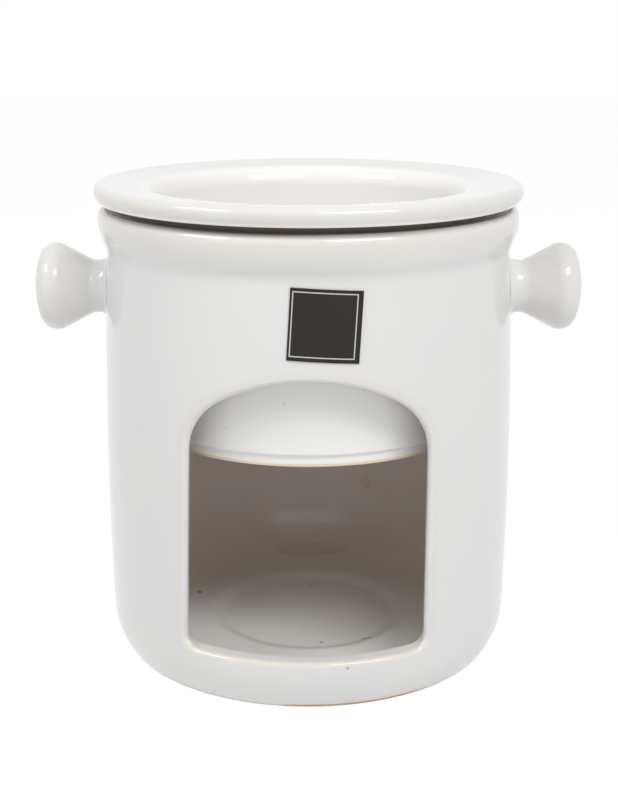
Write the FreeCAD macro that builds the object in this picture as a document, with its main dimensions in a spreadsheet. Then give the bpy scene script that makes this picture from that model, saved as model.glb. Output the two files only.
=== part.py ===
import FreeCAD, Part
import math
import os

import Sketcher

# Chocolate fondue pot in white glazed stoneware, in millimetres.
# A cast stand with two knobs and an arched window for the tea light carries a
# deep bowl, whose wide rim overhangs the stand's rounded lip. A square paper
# label is stuck to the wall above the window.
# +Z is up, the window faces -Y, and the origin is the middle of the stand's foot.

SIZES = {
    # stand, turned outline
    "stand_height": 142.4,
    "body_radius": 65.1,
    "belly_height": 51.0,
    "neck_inset": 2.05,
    "neck_drop": 14.6,
    "lip_flare": 0.4,
    "lip_round": 3.2,
    "flare_round": 18.0,
    "lip_land": 1.4,
    "stand_wall": 5.1,
    "foot_inset": 4.7,
    "corner_height": 12.5,
    "foot_ring": 6.0,
    "foot_hollow": 1.0,
    "foot_edge_round": 0.6,
    "floor_height": 5.5,
    "floor_land": 13.9,
    "recess_radius": 28.0,
    "recess_slope": 2.6,
    "recess_depth": 1.5,
    "recess_round": 3.0,
    # knobs
    "knob_drop": 26.4,
    "knob_gap": 3.0,
    "knob_root_depth": 1.2,
    "knob_neck_radius": 8.3,
    "knob_neck_round": 6.0,
    "knob_flare": 13.1,
    "knob_head_radius": 13.8,
    "knob_crown_round": 5.0,
    "knob_face_round": 30.0,
    "knob_root_round": 2.0,
    # window
    "window_width": 69.2,
    "window_drop": 41.4,
    "sill_height": 16.0,
    "window_crown_round": 48.0,
    "window_shoulder_round": 20.0,
    "window_corner_round": 4.0,
    "window_lean": 1.7,
    "window_edge_round": 1.5,
    "window_inner_round": 1.2,
    # bowl
    "rim_overhang": 1.0,
    "rim_gap": 1.8,
    "rim_thickness": 5.5,
    "rim_edge_round": 2.4,
    "rim_face_round": 4.6,
    "rim_base_round": 0.6,
    "rim_slope": 4.7,
    "seat_width": 0.7,
    "bowl_height": 77.3,
    "bowl_gap": 6.0,
    "bowl_taper": 0.8,
    "bowl_wall": 6.8,
    "bowl_lip_round": 6.0,
    "bowl_shoulder_round": 3.0,
    "bowl_floor": 7.0,
    "bowl_floor_round": 14.0,
    "bowl_bottom_round": 0.9,
    "bowl_foot_inset": 2.0,
    "bowl_foot_height": 3.6,
    "bowl_foot_ring": 5.0,
    "bowl_foot_hollow": 1.0,
    "bowl_foot_edge_round": 0.5,
    # label
    "label_size": 20.3,
    "label_thickness": 0.2,
    "label_glue": 0.15,
    "label_turn": 3.6,
    "label_offset": 4.6,
    "label_gap": 0.1,
}

# Each of these cells is worked out from the sizes above. Where two arcs meet,
# the formula is the one that makes them tangent.
DERIVED = {
    # stand, outside: a long barrel arc through belly and neck, the base corner
    # tangent to it below, and a reverse curve from the neck out to the lip
    "foot_radius": "body_radius - foot_inset",
    "neck_radius": "body_radius - neck_inset",
    "lip_radius": "body_radius + lip_flare",
    "neck_height": "stand_height - neck_drop",
    "lip_height": "stand_height - lip_round",
    "barrel_round": "((neck_height - belly_height)^2 + (body_radius - neck_radius)^2)"
                    " / (2 * (body_radius - neck_radius))",
    "corner_sine": "(belly_height - corner_height) / barrel_round",
    "corner_top_radius": "body_radius - barrel_round * (1 - sqrt(1 - corner_sine^2))",
    "corner_width": "corner_top_radius - foot_radius",
    "corner_round": "(corner_width^2 + corner_height^2)"
                    " / (2 * (corner_width * sqrt(1 - corner_sine^2) - corner_height * corner_sine))",
    "neck_sine": "(neck_height - belly_height) / barrel_round",
    "flare_x": "neck_radius - lip_radius + flare_round",
    "flare_z": "neck_height - lip_height",
    "neck_round": "(flare_x^2 + flare_z^2 - flare_round^2)"
                  " / (2 * (flare_round - flare_x * sqrt(1 - neck_sine^2) - flare_z * neck_sine))",
    "flare_share": "flare_round / (flare_round + neck_round)",
    "flare_radius": "lip_radius - flare_round"
                    " + flare_share * (flare_x + neck_round * sqrt(1 - neck_sine^2))",
    "flare_height": "lip_height + flare_share * (flare_z + neck_round * neck_sine)",
    "crest_radius": "lip_radius - lip_round",
    "land_radius": "crest_radius - lip_land",
    # stand, inside
    "inner_radius": "body_radius - stand_wall",
    "inner_lip_round": "land_radius - inner_radius",
    "inner_lip_height": "stand_height - inner_lip_round",
    "recess_top_radius": "recess_radius + recess_slope",
    "floor_flat_radius": "recess_top_radius + floor_land",
    "floor_round": "inner_radius - floor_flat_radius",
    "floor_round_top": "floor_height + floor_round",
    "recess_height": "floor_height - recess_depth",
    "ring_radius": "foot_radius - foot_ring",
    # knob, in the plane of its own axis: neck arc, straight flank, crown arc, domed face
    "knob_height": "stand_height - knob_drop",
    "knob_wall_radius": "body_radius - barrel_round"
                        " + sqrt(barrel_round^2 - (knob_height - belly_height)^2)",
    "knob_root_reach": "knob_wall_radius - knob_root_depth",
    "knob_neck_reach": "knob_wall_radius + knob_gap",
    "knob_root_radius": "knob_neck_radius + knob_neck_round"
                        " - sqrt(knob_neck_round^2 - (knob_gap + knob_root_depth)^2)",
    "knob_crown_reach": "knob_neck_reach + knob_flare",
    "knob_crown_centre": "knob_head_radius - knob_crown_round",
    "knob_neck_centre": "knob_neck_radius + knob_neck_round",
    "knob_fall": "knob_neck_centre - knob_crown_centre",
    "knob_span": "sqrt(knob_flare^2 + knob_fall^2)",
    "knob_flank": "asin((knob_neck_round + knob_crown_round) / knob_span) - atan(knob_fall / knob_flare)",
    "knob_flank_start_reach": "knob_neck_reach + knob_neck_round * sin(knob_flank)",
    "knob_flank_start_height": "knob_height + knob_neck_centre - knob_neck_round * cos(knob_flank)",
    "knob_flank_end_reach": "knob_crown_reach - knob_crown_round * sin(knob_flank)",
    "knob_flank_end_height": "knob_height + knob_crown_centre + knob_crown_round * cos(knob_flank)",
    "knob_face_set": "sqrt((knob_face_round - knob_crown_round)^2 - knob_crown_centre^2)",
    "knob_face_share": "knob_face_round / (knob_face_round - knob_crown_round)",
    "knob_tip_reach": "knob_crown_reach - knob_face_set + knob_face_round",
    "knob_face_reach": "knob_crown_reach + knob_face_set * (knob_face_share - 1)",
    "knob_face_height": "knob_height + knob_crown_centre * knob_face_share",
    "knob_root_top": "knob_height + knob_root_radius",
    "knob_neck_top": "knob_height + knob_neck_radius",
    "knob_head_top": "knob_height + knob_head_radius",
    # window: crown arc between two shoulder arcs that run into the straight sides,
    # the left of which leans outward on its way down to the sill
    "window_half": "window_width / 2",
    "window_top": "stand_height - window_drop",
    "shoulder_x": "window_half - window_shoulder_round",
    "shoulder_reach": "window_crown_round - window_shoulder_round",
    "shoulder_rise": "sqrt(shoulder_reach^2 - shoulder_x^2)",
    "spring_height": "window_top - window_crown_round + shoulder_rise",
    "crown_share": "window_crown_round / shoulder_reach",
    "crown_half": "crown_share * shoulder_x",
    "crown_height": "window_top - window_crown_round + crown_share * shoulder_rise",
    "sill_half": "window_half - window_corner_round",
    "side_height": "sill_height + window_corner_round",
    "lean_sill_half": "shoulder_x + (window_shoulder_round - window_corner_round"
                      " + (spring_height - side_height) * sin(window_lean * 1deg))"
                      " / cos(window_lean * 1deg)",
    "lean_side_half": "lean_sill_half + window_corner_round * cos(window_lean * 1deg)",
    "lean_side_height": "side_height + window_corner_round * sin(window_lean * 1deg)",
    "lean_spring_half": "shoulder_x + window_shoulder_round * cos(window_lean * 1deg)",
    "lean_spring_height": "spring_height + window_shoulder_round * sin(window_lean * 1deg)",
    # bowl: the seat under its rim lies on the land of the stand's lip at stand_height,
    # and the rim passes over the rest of the lip with a gap
    "seat_radius": "land_radius + seat_width",
    "rim_radius": "lip_radius + rim_overhang",
    "rim_edge_radius": "rim_radius - rim_edge_round",
    "rim_bottom": "stand_height + rim_gap",
    "rim_top": "rim_bottom + rim_thickness",
    "rim_middle_height": "rim_top - rim_edge_round",
    "rim_base_radius": "rim_radius - rim_face_round"
                       " + sqrt(rim_face_round^2 - (rim_middle_height - rim_bottom)^2)",
    "rim_root_radius": "seat_radius + rim_gap",
    "rim_top_radius": "rim_edge_radius - rim_edge_round * sin(rim_slope * 1deg)",
    "rim_top_height": "rim_middle_height + rim_edge_round * cos(rim_slope * 1deg)",
    "bowl_radius": "inner_radius - bowl_gap",
    "cavity_radius": "bowl_radius - bowl_wall",
    "bowl_lip_radius": "cavity_radius + bowl_lip_round * (1 - sin(rim_slope * 1deg))",
    "bowl_lip_height": "rim_top_height - (rim_top_radius - bowl_lip_radius) * tan(rim_slope * 1deg)",
    "cavity_top": "bowl_lip_height - bowl_lip_round * cos(rim_slope * 1deg)",
    "bowl_foot_bottom": "rim_top - bowl_height",
    "bowl_step_height": "bowl_foot_bottom + bowl_foot_height",
    "bowl_bottom_radius": "bowl_radius - bowl_taper",
    "bowl_bottom_height": "bowl_step_height + bowl_bottom_round",
    "bowl_step_radius": "bowl_bottom_radius - bowl_bottom_round",
    "bowl_shoulder_radius": "bowl_radius + bowl_shoulder_round",
    "bowl_shoulder_height": "stand_height - bowl_shoulder_round",
    "cavity_floor": "bowl_foot_bottom + bowl_floor",
    "cavity_bottom_radius": "cavity_radius - bowl_taper",
    "cavity_side_height": "cavity_floor + bowl_floor_round",
    "cavity_flat_radius": "cavity_bottom_radius - bowl_floor_round",
    "bowl_foot_radius": "bowl_radius - bowl_foot_inset",
    "bowl_ring_radius": "bowl_foot_radius - bowl_foot_ring",
    "bowl_hollow_height": "bowl_foot_bottom + bowl_foot_hollow",
    # label: a strip of paper on the barrel, cut to a square that is turned a little
    "label_wide": "label_size / 2 * (cos(label_turn * 1deg) + sin(label_turn * 1deg))",
    "label_narrow": "label_size / 2 * (cos(label_turn * 1deg) - sin(label_turn * 1deg))",
    "label_height": "neck_height - label_gap - label_wide",
    "label_top_left": "label_height + label_wide",
    "label_top_right": "label_height + label_narrow",
    "label_bottom_left": "label_height - label_narrow",
    "label_bottom_right": "label_height - label_wide",
    "label_angle": "label_offset / knob_wall_radius * 180 / pi",
    "label_back_round": "barrel_round + label_glue",
    "label_face_round": "label_back_round + label_thickness",
    "barrel_centre": "barrel_round - body_radius",
    "strip_top": "label_height + label_size",
    "strip_bottom": "label_height - label_size",
    "strip_back_top": "sqrt(label_back_round^2 - (strip_top - belly_height)^2) - barrel_centre",
    "strip_back_bottom": "sqrt(label_back_round^2 - (strip_bottom - belly_height)^2) - barrel_centre",
    "strip_face_top": "sqrt(label_face_round^2 - (strip_top - belly_height)^2) - barrel_centre",
    "strip_face_bottom": "sqrt(label_face_round^2 - (strip_bottom - belly_height)^2) - barrel_centre",
    "strip_sweep": "4 * label_size / knob_wall_radius * 180 / pi",
    "frame_half": "2 * label_size",
    "frame_top": "label_height + frame_half",
    "frame_bottom": "label_height - frame_half",
}

# Ways for an edge of an outline to bend: to the left or to the right of its run.
LEFT = 1
RIGHT = -1

STRAIGHT = None

SHEET = "Dimensions"

# How closely an edge has to lie at a place to be taken as the edge there.
NEAR = 0.01


def fill_sheet(doc):
    """Write the driving sizes and the cells worked out from them."""
    sheet = doc.addObject("Spreadsheet::Sheet", SHEET)
    for row, (name, size) in enumerate(SIZES.items(), start=1):
        sheet.set(f"A{row}", name)
        sheet.set(f"B{row}", str(size))
        sheet.setAlias(f"B{row}", name)
    for row, (name, formula) in enumerate(DERIVED.items(), start=1):
        sheet.set(f"D{row}", name)
        sheet.set(f"E{row}", "=" + formula)
        sheet.setAlias(f"E{row}", name)
    doc.recompute()
    return sheet


def cell(sheet, name):
    """The number in a named cell; a leading minus turns its sign."""
    if name.startswith("-"):
        return -cell(sheet, name[1:])
    number = sheet.get(name)
    return float(getattr(number, "Value", number))


def formula(name):
    """The expression that reads a named cell."""
    if name.startswith("-"):
        return f"-{SHEET}.{name[1:]}"
    return f"{SHEET}.{name}"


def origin_plane(body, role):
    """The body's own origin plane of that role."""
    return next(item for item in body.Origin.OriginFeatures if item.Role == role)


def bind(sketch, constraint, name):
    """Add a measured constraint and tie it to its cell."""
    index = sketch.addConstraint(constraint)
    sketch.setExpression(f"Constraints[{index}]", formula(name))


def arc_between(start, end, radius, bend):
    """The shorter arc from start to end; a left bend has its centre on the left."""
    chord = end - start
    half = chord.Length / 2
    side = FreeCAD.Vector(-chord.y, chord.x, 0).normalize() * bend
    centre = start + chord / 2 + side * math.sqrt(radius ** 2 - half ** 2)
    first, last = (start, end) if bend == LEFT else (end, start)
    angle_from = math.atan2(first.y - centre.y, first.x - centre.x)
    angle_to = math.atan2(last.y - centre.y, last.x - centre.x)
    circle = Part.Circle(centre, FreeCAD.Vector(0, 0, 1), radius)
    return Part.ArcOfCircle(circle, angle_from, angle_to)


def place_corner(sheet, sketch, geo, pos, x, y):
    """Hold one corner of an outline at the cells x and y, or on an axis where one is 0."""
    if x == "0":
        sketch.addConstraint(Sketcher.Constraint("PointOnObject", geo, pos, -2))
    else:
        bind(sketch, Sketcher.Constraint("DistanceX", -1, 1, geo, pos, cell(sheet, x)), x)
    if y == "0":
        sketch.addConstraint(Sketcher.Constraint("PointOnObject", geo, pos, -1))
    else:
        bind(sketch, Sketcher.Constraint("DistanceY", -1, 1, geo, pos, cell(sheet, y)), y)


def draw_loop(sheet, sketch, corners):
    """Draw one closed loop; each corner is (x, y, bend of the edge that leaves it)."""
    points = []
    for x, y, _ in corners:
        across = 0.0 if x == "0" else cell(sheet, x)
        up = 0.0 if y == "0" else cell(sheet, y)
        points.append(FreeCAD.Vector(across, up, 0))
    edges = []
    for number, (_, _, bend) in enumerate(corners):
        start = points[number]
        end = points[(number + 1) % len(points)]
        if bend is STRAIGHT:
            geo = sketch.addGeometry(Part.LineSegment(start, end))
            edges.append((geo, 1, 2))
        else:
            radius, side = bend
            geo = sketch.addGeometry(arc_between(start, end, cell(sheet, radius), side))
            edges.append((geo, 1, 2) if side == LEFT else (geo, 2, 1))
    for number, (geo, start_pos, _) in enumerate(edges):
        before, _, before_end = edges[number - 1]
        sketch.addConstraint(Sketcher.Constraint("Coincident", before, before_end, geo, start_pos))
    for (x, y, bend), (geo, start_pos, _) in zip(corners, edges):
        place_corner(sheet, sketch, geo, start_pos, x, y)
        if bend is not STRAIGHT:
            radius = bend[0]
            bind(sketch, Sketcher.Constraint("Radius", geo, cell(sheet, radius)), radius)


def new_sketch(body, name, role):
    """A sketch on one of the body's origin planes."""
    sketch = body.newObject("Sketcher::SketchObject", name)
    sketch.AttachmentSupport = [(origin_plane(body, role), "")]
    sketch.MapMode = "FlatFace"
    return sketch


def turn(body, sketch, name, axis="V_Axis"):
    """Revolve a sketch fully about one of its axes."""
    turned = body.newObject("PartDesign::Revolution", name)
    turned.Profile = sketch
    turned.ReferenceAxis = (sketch, [axis])
    turned.Angle = 360
    return turned


def round_edges(body, name, base, size, chosen):
    """Fillet those edges of base for which chosen(edge) is true."""
    names = [f"Edge{number}" for number, edge in enumerate(base.Shape.Edges, start=1) if chosen(edge)]
    fillet = body.newObject("PartDesign::Fillet", name)
    fillet.Base = (base, names)
    fillet.setExpression("Radius", formula(size))
    body.Document.recompute()
    return fillet


def is_ring(edge, radius, height):
    """True for a circular edge of the turned body at that radius and height."""
    box = edge.BoundBox
    return (box.ZLength < NEAR and abs(box.ZMin - height) < NEAR
            and abs(box.XMax - radius) < NEAR and abs(box.XMin + radius) < NEAR)


def make_stand(doc, sheet):
    """The stand: a turned pot with a foot ring, two knobs and an arched window."""
    body = doc.addObject("PartDesign::Body", "Stand")
    body.Label = "stand"
    outline = new_sketch(body, "StandOutline", "XZ_Plane")
    draw_loop(sheet, outline, [
        ("0", "foot_hollow", STRAIGHT),
        ("ring_radius", "foot_hollow", STRAIGHT),
        ("ring_radius", "0", STRAIGHT),
        ("foot_radius", "0", ("corner_round", LEFT)),
        ("corner_top_radius", "corner_height", ("barrel_round", LEFT)),
        ("neck_radius", "neck_height", ("neck_round", RIGHT)),
        ("flare_radius", "flare_height", ("flare_round", LEFT)),
        ("lip_radius", "lip_height", ("lip_round", LEFT)),
        ("crest_radius", "stand_height", STRAIGHT),
        ("land_radius", "stand_height", ("inner_lip_round", LEFT)),
        ("inner_radius", "inner_lip_height", STRAIGHT),
        ("inner_radius", "floor_round_top", ("floor_round", RIGHT)),
        ("floor_flat_radius", "floor_height", STRAIGHT),
        ("recess_top_radius", "floor_height", STRAIGHT),
        ("recess_radius", "recess_height", STRAIGHT),
        ("0", "recess_height", STRAIGHT),
    ])
    turn(body, outline, "TurnedWall")
    add_knob(body, sheet, "Right", "")
    add_knob(body, sheet, "Left", "-")
    doc.recompute()
    inner = cell(sheet, "inner_radius")
    neck = cell(sheet, "knob_neck_reach") - NEAR
    height = cell(sheet, "knob_height")
    thick = cell(sheet, "knob_neck_radius")

    def at_knob_root(edge):
        box = edge.BoundBox
        middle = box.Center
        return (inner < abs(middle.x) < neck and abs(middle.y) < thick < box.YLength
                and abs(middle.z - height) < thick)

    body.Tip = round_edges(body, "KnobRoots", body.Tip, "knob_root_round", at_knob_root)
    cut_window(body, sheet)
    foot_rings = [(cell(sheet, "foot_radius"), 0.0), (cell(sheet, "ring_radius"), 0.0)]
    recess_rings = [
        (cell(sheet, "recess_top_radius"), cell(sheet, "floor_height")),
        (cell(sheet, "recess_radius"), cell(sheet, "recess_height")),
    ]
    round_edges(body, "RecessEdge", body.Tip, "recess_round",
                lambda edge: any(is_ring(edge, *ring) for ring in recess_rings))
    round_edges(body, "FootEdges", body.Tip, "foot_edge_round",
                lambda edge: any(is_ring(edge, *ring) for ring in foot_rings))
    return body


def add_knob(body, sheet, side, sign):
    """One flared knob, turned about its own axis across the pot."""
    outline = new_sketch(body, side + "KnobOutline", "XZ_Plane")
    out, back = (RIGHT, LEFT) if sign == "" else (LEFT, RIGHT)
    draw_loop(sheet, outline, [
        (sign + "knob_root_reach", "knob_height", STRAIGHT),
        (sign + "knob_root_reach", "knob_root_top", ("knob_neck_round", back)),
        (sign + "knob_neck_reach", "knob_neck_top", ("knob_neck_round", back)),
        (sign + "knob_flank_start_reach", "knob_flank_start_height", STRAIGHT),
        (sign + "knob_flank_end_reach", "knob_flank_end_height", ("knob_crown_round", out)),
        (sign + "knob_crown_reach", "knob_head_top", ("knob_crown_round", out)),
        (sign + "knob_face_reach", "knob_face_height", ("knob_face_round", out)),
        (sign + "knob_tip_reach", "knob_height", STRAIGHT),
    ])
    height = cell(sheet, "knob_height")
    reach = cell(sheet, sign + "knob_tip_reach")
    axis = Part.LineSegment(FreeCAD.Vector(0, height, 0), FreeCAD.Vector(reach, height, 0))
    line = outline.addGeometry(axis, True)
    outline.addConstraint(Sketcher.Constraint("Horizontal", line))
    place_corner(sheet, outline, line, 1, "0", "knob_height")
    bind(outline, Sketcher.Constraint("DistanceX", -1, 1, line, 2, reach), sign + "knob_tip_reach")
    turn(body, outline, side + "Knob", "Axis0")


def cut_window(body, sheet):
    """Cut the arched window straight through the front wall and round its edges."""
    outline = new_sketch(body, "WindowOutline", "XZ_Plane")
    draw_loop(sheet, outline, [
        ("-lean_sill_half", "sill_height", STRAIGHT),
        ("sill_half", "sill_height", ("window_corner_round", LEFT)),
        ("window_half", "side_height", STRAIGHT),
        ("window_half", "spring_height", ("window_shoulder_round", LEFT)),
        ("crown_half", "crown_height", ("window_crown_round", LEFT)),
        ("-crown_half", "crown_height", ("window_shoulder_round", LEFT)),
        ("-lean_spring_half", "lean_spring_height", STRAIGHT),
        ("-lean_side_half", "lean_side_height", ("window_corner_round", LEFT)),
    ])
    solid = body.Tip.Shape.Volume
    window = body.newObject("PartDesign::Pocket", "Window")
    window.Profile = outline
    window.setExpression("Length", formula("body_radius"))
    window.Reversed = True
    body.Document.recompute()
    if window.Shape.Volume >= solid:
        raise RuntimeError("the window cuts nothing")
    within = cell(sheet, "inner_radius") + cell(sheet, "window_inner_round")
    right = cell(sheet, "window_half")
    left = cell(sheet, "lean_sill_half") + cell(sheet, "window_corner_round")
    low = cell(sheet, "sill_height")
    high = cell(sheet, "window_top")

    def on_window(edge):
        box = edge.BoundBox
        return (box.XMax < right + NEAR and box.XMin > -left - NEAR and box.YMax < 0
                and box.ZMin > low - NEAR and box.ZMax < high + NEAR)

    def on_outside(edge):
        return on_window(edge) and all(math.hypot(end.X, end.Y) > within for end in edge.Vertexes)

    def on_inside(edge):
        return on_window(edge) and all(math.hypot(end.X, end.Y) < within for end in edge.Vertexes)

    outer = round_edges(body, "WindowOuterEdge", window, "window_edge_round", on_outside)
    round_edges(body, "WindowInnerEdge", outer, "window_inner_round", on_inside)


def make_bowl(doc, sheet):
    """The bowl: a deep turned vessel with a wide rim and a low foot."""
    body = doc.addObject("PartDesign::Body", "Bowl")
    body.Label = "bowl"
    outline = new_sketch(body, "BowlOutline", "XZ_Plane")
    draw_loop(sheet, outline, [
        ("0", "bowl_hollow_height", STRAIGHT),
        ("bowl_ring_radius", "bowl_hollow_height", STRAIGHT),
        ("bowl_ring_radius", "bowl_foot_bottom", STRAIGHT),
        ("bowl_foot_radius", "bowl_foot_bottom", STRAIGHT),
        ("bowl_foot_radius", "bowl_step_height", STRAIGHT),
        ("bowl_step_radius", "bowl_step_height", ("bowl_bottom_round", LEFT)),
        ("bowl_bottom_radius", "bowl_bottom_height", STRAIGHT),
        ("bowl_radius", "bowl_shoulder_height", ("bowl_shoulder_round", RIGHT)),
        ("bowl_shoulder_radius", "stand_height", STRAIGHT),
        ("seat_radius", "stand_height", ("rim_gap", RIGHT)),
        ("rim_root_radius", "rim_bottom", STRAIGHT),
        ("rim_base_radius", "rim_bottom", ("rim_face_round", LEFT)),
        ("rim_radius", "rim_middle_height", ("rim_edge_round", LEFT)),
        ("rim_top_radius", "rim_top_height", STRAIGHT),
        ("bowl_lip_radius", "bowl_lip_height", ("bowl_lip_round", LEFT)),
        ("cavity_radius", "cavity_top", STRAIGHT),
        ("cavity_bottom_radius", "cavity_side_height", ("bowl_floor_round", RIGHT)),
        ("cavity_flat_radius", "cavity_floor", STRAIGHT),
        ("0", "cavity_floor", STRAIGHT),
    ])
    turned = turn(body, outline, "TurnedBowl")
    doc.recompute()
    foot = cell(sheet, "bowl_foot_bottom")
    foot_rings = [(cell(sheet, "bowl_foot_radius"), foot), (cell(sheet, "bowl_ring_radius"), foot)]
    rim_ring = (cell(sheet, "rim_base_radius"), cell(sheet, "rim_bottom"))
    footed = round_edges(body, "BowlFootEdges", turned, "bowl_foot_edge_round",
                         lambda edge: any(is_ring(edge, *ring) for ring in foot_rings))
    round_edges(body, "RimBaseEdge", footed, "rim_base_round",
                lambda edge: is_ring(edge, *rim_ring))
    return body


def make_label(doc, sheet):
    """The label: a strip that follows the wall, cut to a turned square."""
    body = doc.addObject("PartDesign::Body", "Label")
    body.Label = "label"
    section = new_sketch(body, "StripSection", "YZ_Plane")
    draw_loop(sheet, section, [
        ("-strip_back_bottom", "strip_bottom", ("label_back_round", RIGHT)),
        ("-strip_back_top", "strip_top", STRAIGHT),
        ("-strip_face_top", "strip_top", ("label_face_round", LEFT)),
        ("-strip_face_bottom", "strip_bottom", STRAIGHT),
    ])
    strip = body.newObject("PartDesign::Revolution", "Strip")
    strip.Profile = section
    strip.ReferenceAxis = (section, ["V_Axis"])
    strip.Midplane = True
    strip.setExpression("Angle", formula("strip_sweep") + " * 1deg")
    doc.recompute()
    whole = strip.Shape.Volume
    square = new_sketch(body, "SquareCut", "XZ_Plane")
    draw_loop(sheet, square, [
        ("-frame_half", "frame_bottom", STRAIGHT),
        ("frame_half", "frame_bottom", STRAIGHT),
        ("frame_half", "frame_top", STRAIGHT),
        ("-frame_half", "frame_top", STRAIGHT),
    ])
    draw_loop(sheet, square, [
        ("-label_narrow", "label_top_left", STRAIGHT),
        ("label_wide", "label_top_right", STRAIGHT),
        ("label_narrow", "label_bottom_right", STRAIGHT),
        ("-label_wide", "label_bottom_left", STRAIGHT),
    ])
    cut = body.newObject("PartDesign::Pocket", "CutToSquare")
    cut.Profile = square
    cut.Type = "ThroughAll"
    cut.Midplane = True
    doc.recompute()
    if cut.Shape.Volume >= whole:
        raise RuntimeError("the label is not cut to its square")
    body.Placement = FreeCAD.Placement(FreeCAD.Vector(0, 0, 0), FreeCAD.Rotation(FreeCAD.Vector(0, 0, 1), 1))
    body.setExpression("Placement.Rotation.Angle", formula("label_angle") + " * 1deg")
    return body


def check(doc, pieces):
    """Stop where an object has failed or a piece has no sound solid."""
    for item in doc.Objects:
        if "Invalid" in item.State or "Error" in item.State:
            raise RuntimeError(f"{item.Name} failed: {item.State}")
    for piece in pieces:
        if piece.Shape.isNull() or not piece.Shape.isValid() or len(piece.Shape.Solids) != 1:
            raise RuntimeError(f"{piece.Label} is not one sound solid")


def main():
    doc = FreeCAD.newDocument("FonduePot")
    sheet = fill_sheet(doc)
    pieces = [make_stand(doc, sheet), make_bowl(doc, sheet), make_label(doc, sheet)]
    doc.recompute()
    check(doc, pieces)
    os.makedirs("parts", exist_ok=True)
    for piece in pieces:
        piece.Shape.exportStep(f"parts/{piece.Label}.step")
        print(f"{piece.Label}: {piece.Shape.Volume:.0f} mm3")


main()
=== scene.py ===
import math

import bmesh
import bpy
import numpy as np
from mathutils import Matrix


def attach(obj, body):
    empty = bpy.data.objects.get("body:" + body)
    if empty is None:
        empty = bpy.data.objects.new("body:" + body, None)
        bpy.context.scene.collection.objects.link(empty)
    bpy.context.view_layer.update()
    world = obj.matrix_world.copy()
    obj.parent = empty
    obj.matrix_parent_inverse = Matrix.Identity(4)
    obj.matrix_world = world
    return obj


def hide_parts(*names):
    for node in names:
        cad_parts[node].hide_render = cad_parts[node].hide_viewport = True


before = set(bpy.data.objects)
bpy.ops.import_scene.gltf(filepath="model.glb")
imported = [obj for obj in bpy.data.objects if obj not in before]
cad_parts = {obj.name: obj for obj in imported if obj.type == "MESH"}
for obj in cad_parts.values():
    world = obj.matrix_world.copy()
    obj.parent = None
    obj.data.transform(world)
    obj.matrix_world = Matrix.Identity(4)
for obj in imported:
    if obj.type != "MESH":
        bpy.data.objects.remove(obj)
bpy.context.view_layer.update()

# A chocolate fondue pot in white glazed stoneware: a deep bowl on a stand with two
# knobs and an arched window, and a square paper label on the wall. The window faces
# -Y. Sizes are in millimetres; the meshes are made in metres.
MM = 0.001
METRE = 1000.0

# stand
STAND_HEIGHT = 142.4
BODY_RADIUS = 65.1
BELLY_HEIGHT = 51.0
NECK_RADIUS = 63.05
NECK_HEIGHT = 127.8
LIP_RADIUS = 65.5
LIP_ROUND = 3.2
LIP_LAND = 1.4
FLARE_ROUND = 18.0
INNER_RADIUS = 60.0
FOOT_RADIUS = 60.4
FOOT_RING = 6.0
FOOT_HOLLOW = 1.0
FOOT_EDGE = 0.6
CORNER_TOP = 12.5
FLOOR_HEIGHT = 5.5
FLOOR_ROUND = 15.5
RECESS_RADIUS = 28.0
RECESS_SLOPE = 4.0
RECESS_DEPTH = 1.5
RECESS_ROUND = 9.0
# window
WINDOW_HALF = 34.6
WINDOW_TOP = 101.0
SILL_HEIGHT = 16.0
CROWN_ROUND = 48.0
SHOULDER_ROUND = 20.0
SILL_CORNER = 4.0
WINDOW_LEAN = math.radians(1.7)
OUTER_EDGE = 1.5
INNER_EDGE = 0.6
# knobs
KNOB_HEIGHT = 116.0
KNOB_NECK_REACH = 66.63
KNOB_NECK_RADIUS = 8.3
KNOB_NECK_ROUND = 6.0
KNOB_FLARE = 13.1
KNOB_HEAD_RADIUS = 13.8
KNOB_CROWN_ROUND = 5.0
KNOB_FACE_ROUND = 30.0
KNOB_ROOT_ROUND = 2.0
KNOB_TIP = 86.33
# bowl
RIM_RADIUS = 66.5
RIM_BOTTOM = STAND_HEIGHT + 1.8
RIM_TOP = RIM_BOTTOM + 5.5
RIM_EDGE = 2.4
RIM_FACE = 4.6
RIM_BASE = 0.6
RIM_SLOPE = math.radians(4.7)
BOWL_HEIGHT = 77.3
BOWL_RADIUS = 54.0
BOWL_TAPER = 0.8
BOWL_WALL = 6.8
BOWL_LIP = 6.0
SEAT_WIDTH = 0.7
BOWL_SHOULDER = 3.0
BOWL_FLOOR = 7.0
BOWL_FLOOR_ROUND = 14.0
BOWL_BOTTOM_ROUND = 0.9
BOWL_FOOT_RADIUS = 52.0
BOWL_FOOT_HEIGHT = 3.6
BOWL_FOOT_RING = 5.0
BOWL_FOOT_HOLLOW = 1.0
BOWL_FOOT_EDGE = 0.5
# label: its middle stands 4.6 mm to the right, measured along the wall at radius 63.63, and
# the margins of its white line are those on the left, right, bottom and top
LABEL_SIZE = 20.3
LABEL_GLUE = 0.15
LABEL_PAPER = 0.2
LABEL_TURN = math.radians(3.6)
LABEL_HEIGHT = 116.93
LABEL_ANGLE = 4.6 / 63.63
LABEL_LINE = 0.3
LABEL_MARGINS = (0.6, 1.4, 1.1, 0.9)

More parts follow.
